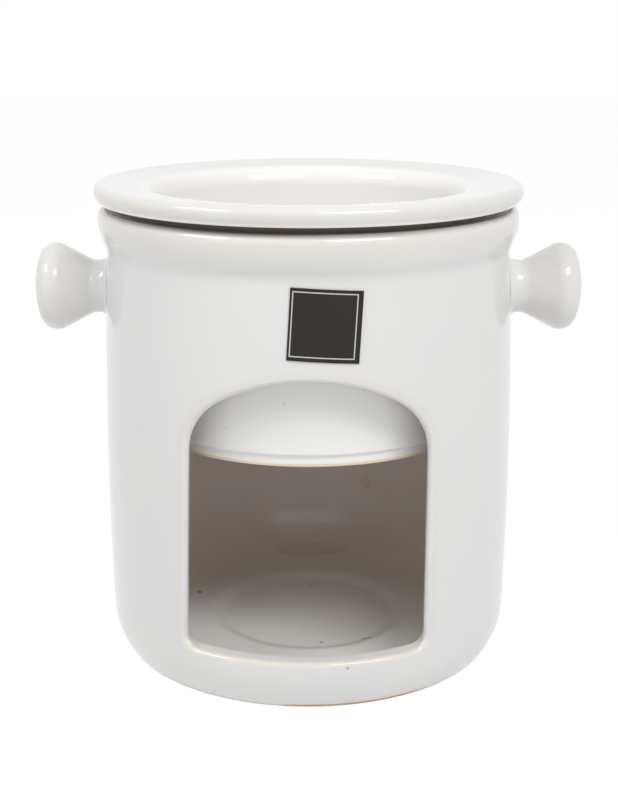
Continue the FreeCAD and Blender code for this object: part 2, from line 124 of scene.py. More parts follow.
# Both walls of the stand are grids of TURNS columns. A rectangle of cells stays open at the
# window and at each knob, and closed rows of points lead from it to the opening or the knob.
# The window's rectangles end at WINDOW_HIGH, and start at WINDOW_LOW outside and INNER_LOW
# inside. A knob's first point lies at KNOB_FIRST degrees round its axis, the lower left.
TURNS = 288
WINDOW_COLUMNS = 72
WINDOW_ROWS = 74
WINDOW_LOW = 6.5
WINDOW_HIGH = 112.0
INNER_LOW = 8.0
ROWS_OVER_WINDOW = 15
WINDOW_PATCH_ROWS = 12
OUTER_EDGE_ROWS = 8
INNER_EDGE_ROWS = 6
JAMB_ROWS = 4
KNOB_COLUMNS = 20
KNOB_ROWS_BELOW = 7
KNOB_ROWS_ABOVE = 13
KNOB_PATCH_ROWS = 5
KNOB_POINTS = 2 * (KNOB_COLUMNS + KNOB_ROWS_BELOW + KNOB_ROWS_ABOVE)
KNOB_FIRST = -135.0
ROLL_ROUNDS = 30
# The window's outline starts in the middle of its lower left corner and runs along the
# sill, up the right side, back over the arch and down the left side, which leans outward.
# A shoulder's first SHOULDER_PART degrees meet the rectangle's side, and the rest its top.
CORNER_STEPS = 5
SHOULDER_PART = 35.0
LOW_SHOULDER_STEPS = 12
HIGH_SHOULDER_STEPS = 9
# The cream glaze round the window is painted by each point's distance from its edge, which
# is worked out in front of EDGE_SEARCH_Y and up to EDGE_REACH.
EDGE_REACH = 20.0
EDGE_SEARCH_Y = -30.0
# Edges that turn by more than this stay sharp.
SHARP_ANGLE = math.radians(40.0)

# The barrel arc runs through belly and neck, and the base corner is tangent to it.
BARREL_ROUND = (((NECK_HEIGHT - BELLY_HEIGHT) ** 2 + (BODY_RADIUS - NECK_RADIUS) ** 2)
                / (2 * (BODY_RADIUS - NECK_RADIUS)))
BARREL_R = BODY_RADIUS - BARREL_ROUND
CORNER_SINE = (BELLY_HEIGHT - CORNER_TOP) / BARREL_ROUND
CORNER_COSINE = math.sqrt(1 - CORNER_SINE ** 2)
CORNER_WIDTH = BARREL_R + BARREL_ROUND * CORNER_COSINE - FOOT_RADIUS
CORNER_ROUND = ((CORNER_WIDTH ** 2 + CORNER_TOP ** 2)
                / (2 * (CORNER_WIDTH * CORNER_COSINE - CORNER_TOP * CORNER_SINE)))
CORNER_R = FOOT_RADIUS + CORNER_WIDTH - CORNER_ROUND * CORNER_COSINE
CORNER_Z = CORNER_TOP + CORNER_ROUND * CORNER_SINE


def outer_wall(height, gap=0.0):
    """Radius at a height, gap mm outside the stand's wall, and its normal's shares out and up.
    The wall is the barrel arc, and below it the arc of the base corner."""
    low = height < CORNER_TOP
    reach = np.where(low, CORNER_ROUND, BARREL_ROUND) + gap
    up = (height - np.where(low, CORNER_Z, BELLY_HEIGHT)) / reach
    out = np.sqrt(1 - up ** 2)
    return np.where(low, CORNER_R, BARREL_R) + reach * out, out, up


def inner_wall(height, gap=0.0):
    """The same gap mm inside the clay from the inner wall: a cylinder, and the round of
    the floor below it. The normal points to the axis."""
    reach = FLOOR_ROUND + gap
    up = np.minimum(height - FLOOR_HEIGHT - FLOOR_ROUND, 0) / reach
    out = np.sqrt(1 - up ** 2)
    return INNER_RADIUS - FLOOR_ROUND + reach * out, -out, -up


def arc(r, z, radius, start, end, count):
    """Points (radius, height) of an arc about (r, z), from one angle in degrees to another."""
    angle = np.radians(np.linspace(start, end, count + 1))
    return np.stack([r + radius * np.cos(angle), z + radius * np.sin(angle)], axis=1)


def line(start, end, count):
    """Evenly spaced points of a straight stretch, with both ends."""
    return np.linspace(start, end, count + 1)


def joined(*stretches):
    """One outline from stretches that meet end to end, each shared point kept once."""
    points = np.concatenate(stretches)
    apart = np.linalg.norm(np.diff(points, axis=0), axis=1) > 1e-4
    return points[np.concatenate([[True], apart])]


def around(radius, angle, height):
    """A point at that radius, angle from the front (-Y) towards +X, and height."""
    across, deep = radius * np.sin(angle), -radius * np.cos(angle)
    return np.stack(np.broadcast_arrays(across, deep, height), axis=-1)


def swing(centre, radius, start, end, count):
    """Rows of points on balls about centre, swung evenly from the unit vectors start to end:
    (sin((1 - s) t) start + sin(s t) end) / sin(t), where t is the angle between the two."""
    turn = np.arccos(np.sum(start * end, axis=1))[None, :, None]
    share = np.linspace(0, 1, count + 1)[:, None, None]
    unit = (np.sin((1 - share) * turn) * start + np.sin(share * turn) * end) / np.sin(turn)
    return centre + radius * unit


def placed(name, data):
    """A new object of the scene, at the origin."""
    piece = bpy.data.objects.new(name, data)
    bpy.context.scene.collection.objects.link(piece)
    return piece


class Shell:
    """Collects the points of one closed shell, and the faces between rows of them."""

    def __init__(self):
        self.points = []
        self.faces = []
        self.count = 0

    def add(self, points):
        """Add a grid of points in millimetres; gives their numbers in the same grid."""
        numbers = self.count + np.arange(points[..., 0].size).reshape(points.shape[:-1])
        self.points.append(points.reshape(-1, 3))
        self.count += numbers.size
        return numbers

    def band(self, lower, upper, keep=True):
        """Faces between two closed rows of points, where keep is true."""
        quads = np.stack([lower, np.roll(lower, -1), np.roll(upper, -1), upper], axis=-1)
        self.faces.append(quads[np.broadcast_to(keep, lower.shape)])

    def cap(self, row, pole):
        """Close a row onto one point."""
        self.faces.append(np.stack([row, np.roll(row, -1), np.full(row.shape, pole)], axis=-1))

    def finish(self, name, attributes=None):
        """The object: normals point outwards, and edges over SHARP_ANGLE stay sharp."""
        mesh = bpy.data.meshes.new(name)
        faces = [face for block in self.faces for face in block.tolist()]
        mesh.from_pydata((np.concatenate(self.points) * MM).tolist(), [], faces)
        for key, numbers in (attributes or {}).items():
            mesh.attributes.new(key, "FLOAT", "POINT").data.foreach_set("value", numbers)
        work = bmesh.new()
        work.from_mesh(mesh)
        bmesh.ops.recalc_face_normals(work, faces=work.faces)
        work.to_mesh(mesh)
        work.free()
        mesh.shade_smooth()
        mesh.set_sharp_from_angle(angle=SHARP_ANGLE)
        return placed(name, mesh)


def turned(shell, outline, open_cells=None):
    """Turn an outline, whose first and last points are on the axis, about the axis.
    open_cells marks the cells between its inner points that stay open."""
    angle = (np.arange(TURNS) - TURNS // 2) * (2 * math.pi / TURNS)
    grid = shell.add(around(outline[1:-1, 0, None], angle, outline[1:-1, 1, None]))
    for row in range(len(grid) - 1):
        keep = True if open_cells is None else ~open_cells[row]
        shell.band(grid[row], grid[row + 1], keep)
    for row, point in ((grid[0], outline[0]), (grid[-1], outline[-1])):
        pole = shell.add(np.array([[0.0, 0.0, point[1]]]))
        shell.cap(row, pole[0])
    return grid


def rectangle(grid, rows, columns):
    """Point numbers round a rectangle of the grid: along the bottom row, up, back along the
    top row and down. rows and columns are (first, last), and rows run from bottom to top."""
    bottom, top = rows
    left, right = columns
    side = 1 if top > bottom else -1
    return np.concatenate([
        grid[bottom, left:right],
        grid[bottom:top:side, right],
        grid[top, right:left:-1],
        grid[top:bottom:-side, left],
    ])


def patch(shell, frame_loop, wall, inner, count):
    """Rows from a rectangle of the wall's grid in to the loop of points inner, which lies on
    the wall: angle and height go straight from one to the other, and wall gives the radius."""
    corners = np.concatenate(shell.points)[frame_loop]

    def flat(points):
        return np.stack([np.arctan2(points[:, 0], -points[:, 1]), points[:, 2]], axis=1)

    share = np.linspace(0, 1, count + 1)[1:, None, None]
    place = flat(corners) * (1 - share) + flat(inner) * share
    rows = around(wall(place[..., 1])[0], place[..., 0], place[..., 1])
    numbers = shell.add(rows)
    shell.band(frame_loop, numbers[0])
    for lower, upper in zip(numbers[:-1], numbers[1:]):
        shell.band(lower, upper)
    return numbers


def sleeve(shell, start, rows):
    """Rows of points that go on from a closed row of numbers."""
    numbers = shell.add(rows)
    for lower, upper in zip([start, *numbers[:-1]], numbers):
        shell.band(lower, upper)
    return numbers


def window_outline():
    """Places and outward normals (x, z) of the window's outline."""
    shoulder_x = WINDOW_HALF - SHOULDER_ROUND
    reach = CROWN_ROUND - SHOULDER_ROUND
    rise = math.sqrt(reach ** 2 - shoulder_x ** 2)
    spring = WINDOW_TOP - CROWN_ROUND + rise
    turn = math.degrees(math.atan2(rise, shoulder_x))
    corner_x = WINDOW_HALF - SILL_CORNER
    corner_z = SILL_HEIGHT + SILL_CORNER
    lean_x, lean_z = math.cos(WINDOW_LEAN), math.sin(WINDOW_LEAN)
    lean = 180 - math.degrees(WINDOW_LEAN)
    lean_shift = SHOULDER_ROUND - SILL_CORNER + (spring - corner_z) * lean_z
    lean_corner = -shoulder_x - lean_shift / lean_x
    long_side = WINDOW_ROWS - CORNER_STEPS - LOW_SHOULDER_STEPS
    crown = WINDOW_COLUMNS - 2 * HIGH_SHOULDER_STEPS
    stretches = []

    def bend(x, z, radius, start, end, count):
        angle = np.radians(np.linspace(start, end, count + 1)[:-1])
        normal = np.stack([np.cos(angle), np.sin(angle)], axis=1)
        stretches.append((np.array([x, z]) + radius * normal, normal))

    def straight(start, end, normal, count):
        places = np.linspace(start, end, count + 1)[:-1]
        stretches.append((places, np.broadcast_to(np.array(normal, float), places.shape)))

    bend(lean_corner, corner_z, SILL_CORNER, 225, 270, CORNER_STEPS)
    straight((lean_corner, SILL_HEIGHT), (corner_x, SILL_HEIGHT), (0, -1),
             WINDOW_COLUMNS - 2 * CORNER_STEPS)
    bend(corner_x, corner_z, SILL_CORNER, 270, 360, 2 * CORNER_STEPS)
    straight((WINDOW_HALF, corner_z), (WINDOW_HALF, spring), (1, 0), long_side)
    bend(shoulder_x, spring, SHOULDER_ROUND, 0, SHOULDER_PART, LOW_SHOULDER_STEPS)
    bend(shoulder_x, spring, SHOULDER_ROUND, SHOULDER_PART, turn, HIGH_SHOULDER_STEPS)
    bend(0, WINDOW_TOP - CROWN_ROUND, CROWN_ROUND, turn, 180 - turn, crown)
    bend(-shoulder_x, spring, SHOULDER_ROUND, 180 - turn, 180 - SHOULDER_PART, HIGH_SHOULDER_STEPS)
    bend(-shoulder_x, spring, SHOULDER_ROUND, 180 - SHOULDER_PART, lean, LOW_SHOULDER_STEPS)
    straight((-shoulder_x - SHOULDER_ROUND * lean_x, spring + SHOULDER_ROUND * lean_z),
             (lean_corner - SILL_CORNER * lean_x, corner_z + SILL_CORNER * lean_z),
             (-lean_x, lean_z), long_side)
    bend(lean_corner, corner_z, SILL_CORNER, lean, 225, CORNER_STEPS)
    return (np.concatenate([part[0] for part in stretches]),
            np.concatenate([part[1] for part in stretches]))


def window_edge(places, normals, wall, gap, count):
    """Rounded edge between the straight cut of the window and a wall. A ball rolls inside the
    clay, touching both: gap is its radius, negative for the outer wall. Rows run from the wall
    to the cut."""
    size = abs(gap)
    x, z = (places + size * normals).T
    radius, out, up = wall(z, gap)
    centre = np.stack([x, -np.sqrt(radius ** 2 - x ** 2), z], axis=1)
    to_wall = np.stack([out * centre[:, 0] / radius, out * centre[:, 1] / radius, up], axis=1)
    to_cut = np.stack([-normals[:, 0], np.zeros(len(normals)), -normals[:, 1]], axis=1)
    return swing(centre, size, to_wall, to_cut, count)


def knob_rows(side):
    """Rows of one knob from the wall to its face, as points round its own axis. The root is a
    ball rolled outside the clay along wall and neck, whose place is found by putting the reach
    from the wall into the neck's arc again and again. Then come the neck arc, the straight
    flank, the crown arc and the domed face."""
    around_axis = np.radians(np.arange(KNOB_POINTS) * 360 / KNOB_POINTS + KNOB_FIRST)
    across, up = np.cos(around_axis), np.sin(around_axis)
    neck_z = KNOB_NECK_RADIUS + KNOB_NECK_ROUND
    roll = KNOB_NECK_ROUND - KNOB_ROOT_ROUND
    height = np.full(KNOB_POINTS, neck_z - roll)
    for _ in range(ROLL_ROUNDS):
        surface = outer_wall(KNOB_HEIGHT + height * up, KNOB_ROOT_ROUND)[0]
        reach = np.sqrt(surface ** 2 - (height * across) ** 2)
        height = neck_z - np.sqrt(roll ** 2 - (reach - KNOB_NECK_REACH) ** 2)
    centre = np.stack([reach, height * across, KNOB_HEIGHT + height * up], axis=1)
    radius, out, lift = outer_wall(centre[:, 2], KNOB_ROOT_ROUND)
    to_wall = -np.stack([out * centre[:, 0] / radius, out * centre[:, 1] / radius, lift], axis=1)
    along = (reach - KNOB_NECK_REACH) / roll
    inward = (height - neck_z) / roll
    to_neck = np.stack([along, inward * across, inward * up], axis=1)
    root = swing(centre, KNOB_ROOT_ROUND, to_wall, to_neck, 6)

    crown_z = KNOB_HEAD_RADIUS - KNOB_CROWN_ROUND
    crown_x = KNOB_NECK_REACH + KNOB_FLARE
    fall = neck_z - crown_z
    span = math.hypot(KNOB_FLARE, fall)
    flank = math.asin((KNOB_NECK_ROUND + KNOB_CROWN_ROUND) / span) - math.atan(fall / KNOB_FLARE)
    face_set = math.sqrt((KNOB_FACE_ROUND - KNOB_CROWN_ROUND) ** 2 - crown_z ** 2)
    face_angle = math.degrees(math.atan2(crown_z, face_set))
    start = np.arctan2(inward, along)
    stop = math.radians(math.degrees(flank) - 90)
    bend = start + (stop - start) * np.linspace(0, 1, 13)[1:, None]
    neck = np.stack([KNOB_NECK_REACH + KNOB_NECK_ROUND * np.cos(bend),
                     neck_z + KNOB_NECK_ROUND * np.sin(bend)], axis=-1)
    flank_end = arc(crown_x, crown_z, KNOB_CROWN_ROUND, 90 + math.degrees(flank), face_angle, 14)
    face = arc(crown_x - face_set, 0, KNOB_FACE_ROUND, face_angle, 0, 12)[1:-1]
    profile = joined(line(neck[-1, 0], flank_end[0], 8), flank_end, face)[1:]
    profile = np.broadcast_to(profile[:, None, :], (len(profile), KNOB_POINTS, 2))
    body = np.concatenate([neck, profile])
    body = np.stack([body[..., 0], body[..., 1] * across, KNOB_HEIGHT + body[..., 1] * up], axis=-1)
    rows = np.concatenate([root, body])
    return rows * np.array([side, -side, 1])


def stand_outline():
    """The stand's outline from the axis under the foot, up the outside, over the lip and back
    along the inside to the axis, with the first row of each stretch of even wall rows."""
    ring = FOOT_RADIUS - FOOT_RING
    ball = CORNER_ROUND - FOOT_EDGE
    foot_r = CORNER_R + math.sqrt(ball ** 2 - (CORNER_Z - FOOT_EDGE) ** 2)
    foot_angle = math.degrees(math.atan2(FOOT_EDGE - CORNER_Z, foot_r - CORNER_R))
    contact = CORNER_Z + CORNER_ROUND * math.sin(math.radians(foot_angle))
    base = joined(
        line((0, FOOT_HOLLOW), (ring, FOOT_HOLLOW), 10),
        line((ring, FOOT_HOLLOW), (ring, FOOT_EDGE), 1),
        arc(ring + FOOT_EDGE, FOOT_EDGE, FOOT_EDGE, 180, 270, 4),
        line((ring + FOOT_EDGE, 0), (foot_r, 0), 4),
        arc(foot_r, FOOT_EDGE, FOOT_EDGE, -90, foot_angle, 4),
    )
    low = np.linspace(contact, WINDOW_LOW, 7)[1:]
    even = np.linspace(WINDOW_LOW, WINDOW_HIGH, WINDOW_ROWS + 1)[1:]
    high = np.linspace(WINDOW_HIGH, NECK_HEIGHT, 14)[1:]
    heights = np.concatenate([low, even, high])
    wall = np.stack([outer_wall(heights)[0], heights], axis=1)

    neck_sine = (NECK_HEIGHT - BELLY_HEIGHT) / BARREL_ROUND
    neck_cosine = math.sqrt(1 - neck_sine ** 2)
    lip_z = STAND_HEIGHT - LIP_ROUND
    flare_x = NECK_RADIUS - LIP_RADIUS + FLARE_ROUND
    flare_z = NECK_HEIGHT - lip_z
    neck_round = ((flare_x ** 2 + flare_z ** 2 - FLARE_ROUND ** 2)
                  / (2 * (FLARE_ROUND - flare_x * neck_cosine - flare_z * neck_sine)))
    neck_r = NECK_RADIUS + neck_round * neck_cosine
    neck_z = NECK_HEIGHT + neck_round * neck_sine
    flare_angle = math.degrees(math.atan2(neck_z - lip_z, neck_r - LIP_RADIUS + FLARE_ROUND))
    crest = LIP_RADIUS - LIP_ROUND
    land = crest - LIP_LAND
    inner_lip = land - INNER_RADIUS
    neck_start = 180 + math.degrees(math.asin(neck_sine))
    top = joined(
        arc(neck_r, neck_z, neck_round, neck_start, 180 + flare_angle, 10),
        arc(LIP_RADIUS - FLARE_ROUND, lip_z, FLARE_ROUND, flare_angle, 0, 8),
        arc(crest, lip_z, LIP_ROUND, 0, 90, 12),
        line((crest, STAND_HEIGHT), (land, STAND_HEIGHT), 2),
        arc(land, STAND_HEIGHT - inner_lip, inner_lip, 90, 180, 6),
    )
    inside = np.concatenate([
        np.linspace(STAND_HEIGHT - inner_lip, WINDOW_HIGH, ROWS_OVER_WINDOW + 1)[1:],
        np.linspace(WINDOW_HIGH, INNER_LOW, WINDOW_ROWS + 1)[1:],
    ])
    inner = np.stack([inner_wall(inside)[0], inside], axis=1)
    floor_r = INNER_RADIUS - FLOOR_ROUND
    round_start = math.degrees(math.asin((INNER_LOW - FLOOR_HEIGHT - FLOOR_ROUND) / FLOOR_ROUND))
    slope = math.atan2(RECESS_DEPTH, RECESS_SLOPE)
    cut = RECESS_ROUND * math.tan(slope / 2)
    recess_z = FLOOR_HEIGHT - RECESS_DEPTH
    floor = joined(
        arc(floor_r, FLOOR_HEIGHT + FLOOR_ROUND, FLOOR_ROUND, round_start, -90, 8)[1:],
        line((floor_r, FLOOR_HEIGHT), (RECESS_RADIUS + RECESS_SLOPE + cut, FLOOR_HEIGHT), 6),
        arc(RECESS_RADIUS + RECESS_SLOPE + cut, FLOOR_HEIGHT - RECESS_ROUND, RECESS_ROUND,
            90, 90 + math.degrees(slope), 5),
        arc(RECESS_RADIUS - cut, recess_z + RECESS_ROUND, RECESS_ROUND,
            270 + math.degrees(slope), 270, 5),
        line((RECESS_RADIUS - cut, recess_z), (0, recess_z), 24),
    )
    outline = np.concatenate([base, wall, top[1:], inner, floor])
    first_wall = len(base) + len(low) - 1
    first_inner = len(base) + len(wall) + len(top[1:]) + ROWS_OVER_WINDOW - 1
    return outline, first_wall, first_inner


def add_window(shell, grid, outer_rows, inner_rows, columns):
    """The window from wall to wall: a patch on the outer wall, its rounded edge, the cut, the
    inner edge and a patch on the inner wall. Gives the row along the outer edge's crest."""
    places, normals = window_outline()
    outer = window_edge(places, normals, outer_wall, -OUTER_EDGE, OUTER_EDGE_ROWS)
    inner = window_edge(places, normals, inner_wall, INNER_EDGE, INNER_EDGE_ROWS)
    loop = rectangle(grid, outer_rows, columns)
    outside = patch(shell, loop, outer_wall, outer[0], WINDOW_PATCH_ROWS)
    jamb = np.linspace(outer[-1], inner[-1], JAMB_ROWS + 1)[1:-1]
    through = sleeve(shell, outside[-1], np.concatenate([outer[1:], jamb, inner[:0:-1]]))
    loop = rectangle(grid, inner_rows[::-1], columns)
    inside = patch(shell, loop, inner_wall, inner[0], WINDOW_PATCH_ROWS)
    shell.band(through[-1], inside[-1])
    return outer[OUTER_EDGE_ROWS // 2]


def add_knob(shell, grid, side, rows, columns):
    """One knob in its rectangle of the outer wall, on the side +1 (right) or -1."""
    knob = knob_rows(side)
    base = patch(shell, rectangle(grid, rows, columns), outer_wall, knob[0], KNOB_PATCH_ROWS)
    last = sleeve(shell, base[-1], knob[1:])[-1]
    tip = shell.add(np.array([[side * KNOB_TIP, 0.0, KNOB_HEIGHT]]))
    shell.cap(last, tip[0])


def distance_to(points, crest):
    """How far each point is from the nearest point of crest, up to EDGE_REACH, with
    |p - c|^2 = |p|^2 + |c|^2 - 2 p.c. Points behind the front are at the limit."""
    distance = np.full(len(points), EDGE_REACH)
    near = points[:, 1] < EDGE_SEARCH_Y
    squares = (points[near] ** 2).sum(axis=1)[:, None] + (crest ** 2).sum(axis=1)
    apart = (squares - 2 * points[near] @ crest.T).min(axis=1)
    distance[near] = np.minimum(np.sqrt(np.maximum(apart, 0.0)), EDGE_REACH)
    return distance


def make_stand():
    """The stand as one closed shell: a turned grid with open rectangles, which the window and
    the knobs close."""
    outline, first_wall, first_inner = stand_outline()
    shell = Shell()
    low, inner_low = first_wall - 1, first_inner - 1
    high = low + WINDOW_ROWS
    outer_rows = (low, high)
    inner_rows = (inner_low, inner_low + WINDOW_ROWS)
    rows_of_knob = (high - KNOB_ROWS_BELOW, high + KNOB_ROWS_ABOVE)
    middle = TURNS // 2
    window = (middle - WINDOW_COLUMNS // 2, middle + WINDOW_COLUMNS // 2)
    knobs = {side: (middle + side * TURNS // 4 - KNOB_COLUMNS // 2,
                    middle + side * TURNS // 4 + KNOB_COLUMNS // 2) for side in (1, -1)}
    open_cells = np.zeros((len(outline) - 3, TURNS), bool)
    for (first, last), (left, right) in (
        (outer_rows, window), (inner_rows, window),
        (rows_of_knob, knobs[1]), (rows_of_knob, knobs[-1]),
    ):
        open_cells[first:last, left:right] = True
    grid = turned(shell, outline, open_cells)
    crest = add_window(shell, grid, outer_rows, inner_rows, window)
    for side, columns in knobs.items():
        add_knob(shell, grid, side, rows_of_knob, columns)
    return shell.finish("stand_glaze", {
        "window_gap": distance_to(np.concatenate(shell.points), crest),
    })


def make_bowl():
    """The bowl: its outline turned about the axis, from under the foot round to the cavity."""
    bottom = RIM_TOP - BOWL_HEIGHT
    ring = BOWL_FOOT_RADIUS - BOWL_FOOT_RING
    step = bottom + BOWL_FOOT_HEIGHT
    hollow = bottom + BOWL_FOOT_HOLLOW
    low_radius = BOWL_RADIUS - BOWL_TAPER
    edge_r = RIM_RADIUS - RIM_EDGE
    edge_z = RIM_TOP - RIM_EDGE
    face_r = RIM_RADIUS - RIM_FACE
    base_z = RIM_BOTTOM + RIM_BASE
    base_r = face_r + math.sqrt((RIM_FACE - RIM_BASE) ** 2 - (edge_z - base_z) ** 2)
    base_angle = math.degrees(math.atan2(base_z - edge_z, base_r - face_r))
    seat_r = LIP_RADIUS - LIP_ROUND - LIP_LAND + SEAT_WIDTH
    root_r = seat_r + RIM_BOTTOM - STAND_HEIGHT
    cavity = BOWL_RADIUS - BOWL_WALL
    top_r = edge_r - RIM_EDGE * math.sin(RIM_SLOPE)
    top_z = edge_z + RIM_EDGE * math.cos(RIM_SLOPE)
    lip_r = cavity + BOWL_LIP * (1 - math.sin(RIM_SLOPE))
    lip_z = top_z - (top_r - lip_r) * math.tan(RIM_SLOPE)
    lip_centre_z = lip_z - BOWL_LIP * math.cos(RIM_SLOPE)
    rim_angle = 90 + math.degrees(RIM_SLOPE)
    floor_z = bottom + BOWL_FLOOR
    round_r = cavity - BOWL_TAPER - BOWL_FLOOR_ROUND
    round_z = floor_z + BOWL_FLOOR_ROUND
    shoulder_z = STAND_HEIGHT - BOWL_SHOULDER
    outline = joined(
        line((0, hollow), (ring, hollow), 10),
        line((ring, hollow), (ring, bottom + BOWL_FOOT_EDGE), 1),
        arc(ring + BOWL_FOOT_EDGE, bottom + BOWL_FOOT_EDGE, BOWL_FOOT_EDGE, 180, 270, 4),
        line((ring + BOWL_FOOT_EDGE, bottom), (BOWL_FOOT_RADIUS - BOWL_FOOT_EDGE, bottom), 3),
        arc(BOWL_FOOT_RADIUS - BOWL_FOOT_EDGE, bottom + BOWL_FOOT_EDGE, BOWL_FOOT_EDGE, -90, 0, 4),
        line((BOWL_FOOT_RADIUS, bottom + BOWL_FOOT_EDGE), (BOWL_FOOT_RADIUS, step), 3),
        line((BOWL_FOOT_RADIUS, step), (low_radius - BOWL_BOTTOM_ROUND, step), 1),
        arc(low_radius - BOWL_BOTTOM_ROUND, step + BOWL_BOTTOM_ROUND, BOWL_BOTTOM_ROUND, -90, 0, 6),
        line((low_radius, step + BOWL_BOTTOM_ROUND), (BOWL_RADIUS, shoulder_z), 40),
        arc(BOWL_RADIUS + BOWL_SHOULDER, shoulder_z, BOWL_SHOULDER, 180, 90, 6),
        line((BOWL_RADIUS + BOWL_SHOULDER, STAND_HEIGHT), (seat_r, STAND_HEIGHT), 4),
        arc(root_r, STAND_HEIGHT, RIM_BOTTOM - STAND_HEIGHT, 180, 90, 6),
        line((root_r, RIM_BOTTOM), (base_r, RIM_BOTTOM), 2),
        arc(base_r, base_z, RIM_BASE, -90, base_angle, 5),
        arc(face_r, edge_z, RIM_FACE, base_angle, 0, 10),
        arc(edge_r, edge_z, RIM_EDGE, 0, rim_angle, 14),
        line((top_r, top_z), (lip_r, lip_z), 10),
        arc(cavity + BOWL_LIP, lip_centre_z, BOWL_LIP, rim_angle, 180, 16),
        line((cavity, lip_centre_z), (cavity - BOWL_TAPER, round_z), 30),
        arc(round_r, round_z, BOWL_FLOOR_ROUND, 0, -90, 18),
        line((round_r, floor_z), (0, floor_z), 20),
    )
    shell = Shell()
    turned(shell, outline)
    return shell.finish("bowl_glaze")


def make_label():
    """The label: a square grid turned a little, laid on the barrel and swung to its place. Its
    face lies a paper's thickness over its back."""
    count = 24
    ticks = np.linspace(-0.5, 0.5, count + 1)
    across, up = np.meshgrid(ticks, ticks)
    x = LABEL_SIZE * (across * math.cos(LABEL_TURN) + up * math.sin(LABEL_TURN))
    z = LABEL_HEIGHT + LABEL_SIZE * (up * math.cos(LABEL_TURN) - across * math.sin(LABEL_TURN))
    shell = Shell()
    sheets = []
    for gap in (LABEL_GLUE, LABEL_GLUE + LABEL_PAPER):
        y = -np.sqrt(outer_wall(z, gap)[0] ** 2 - x ** 2)
        turn_x = x * math.cos(LABEL_ANGLE) - y * math.sin(LABEL_ANGLE)
        turn_y = x * math.sin(LABEL_ANGLE) + y * math.cos(LABEL_ANGLE)
        sheets.append(shell.add(np.stack([turn_x, turn_y, z], axis=-1)))
    for sheet in sheets:
        quads = np.stack([sheet[:-1, :-1], sheet[:-1, 1:], sheet[1:, 1:], sheet[1:, :-1]], axis=-1)
        shell.faces.append(quads.reshape(-1, 4))
    back, face = (rectangle(sheet, (0, count), (0, count)) for sheet in sheets)
    shell.band(back, face)
    piece = shell.finish("label_paper")
    uv = piece.data.uv_layers.new(name="print")
    corners = np.empty(len(piece.data.loops), int)
    piece.data.loops.foreach_get("vertex_index", corners)
    flat = np.stack([across + 0.5, up + 0.5], axis=-1).reshape(-1, 2)
    uv.data.foreach_set("uv", np.tile(flat, (2, 1))[corners].ravel())
    return piece


class Value:
    """A number that runs through a node tree; arithmetic on it adds Math nodes."""

    def __init__(self, nodes, socket):
        self.nodes = nodes
        self.socket = socket

    def math(self, operation, first, second):
        return self.nodes.node("Math", {"operation": operation}, first, second)

    def __add__(self, other):
        return self.math("ADD", self, other)

    def __sub__(self, other):
        return self.math("SUBTRACT", self, other)

    def __rsub__(self, other):
        return self.math("SUBTRACT", other, self)

    def __mul__(self, other):
        return self.math("MULTIPLY", self, other)

    def __truediv__(self, other):
        return self.math("DIVIDE", self, other)

    def __pow__(self, other):
        return self.math("POWER", self, other)

    __radd__ = __add__

    def least(self, other):
        return self.math("MINIMUM", self, other)

    def most(self, other):
        return self.math("MAXIMUM", self, other)

    def rise(self, low, high):
        """0 below low, 1 above high, with a soft step between."""
        settings = {"interpolation_type": "SMOOTHSTEP"}
        return self.nodes.node("MapRange", settings, self, low, high, 0.0, 1.0)

    def fall(self, low, high):
        """1 below low, 0 above high."""
        return 1.0 - self.rise(low, high)


class Nodes:
    """Adds nodes to one node tree and joins them."""

    def __init__(self, tree):
        self.tree = tree

    def put(self, socket, content):
        """Feed a socket with a Value, or set it to a plain number or colour."""
        if isinstance(content, Value):
            self.tree.links.new(content.socket, socket)
        else:
            socket.default_value = content

    def node(self, kind, settings, *inputs, out=0, **named):
        """Any shader node: its settings first, then its sockets in order or by name."""
        made = self.tree.nodes.new("ShaderNode" + kind)
        for key, content in settings.items():
            setattr(made, key, content)
        for socket, content in zip(made.inputs, inputs):
            self.put(socket, content)
        for key, content in named.items():
            self.put(made.inputs[key], content)
        return Value(self, made.outputs[out])

    def split(self, vector):
        """The three parts of a vector."""
        made = self.tree.nodes.new("ShaderNodeSeparateXYZ")
        self.put(made.inputs[0], vector)
        return [Value(self, socket) for socket in made.outputs]

    def shown(self):
        """1 for what the camera sees straight, in gloss or through glass, 0 for other light."""
        path = self.tree.nodes.new("ShaderNodeLightPath")
        camera, gloss, glass = (Value(self, path.outputs[f"Is {kind} Ray"])
                                for kind in ("Camera", "Glossy", "Transmission"))
        return camera.most(gloss).most(glass)


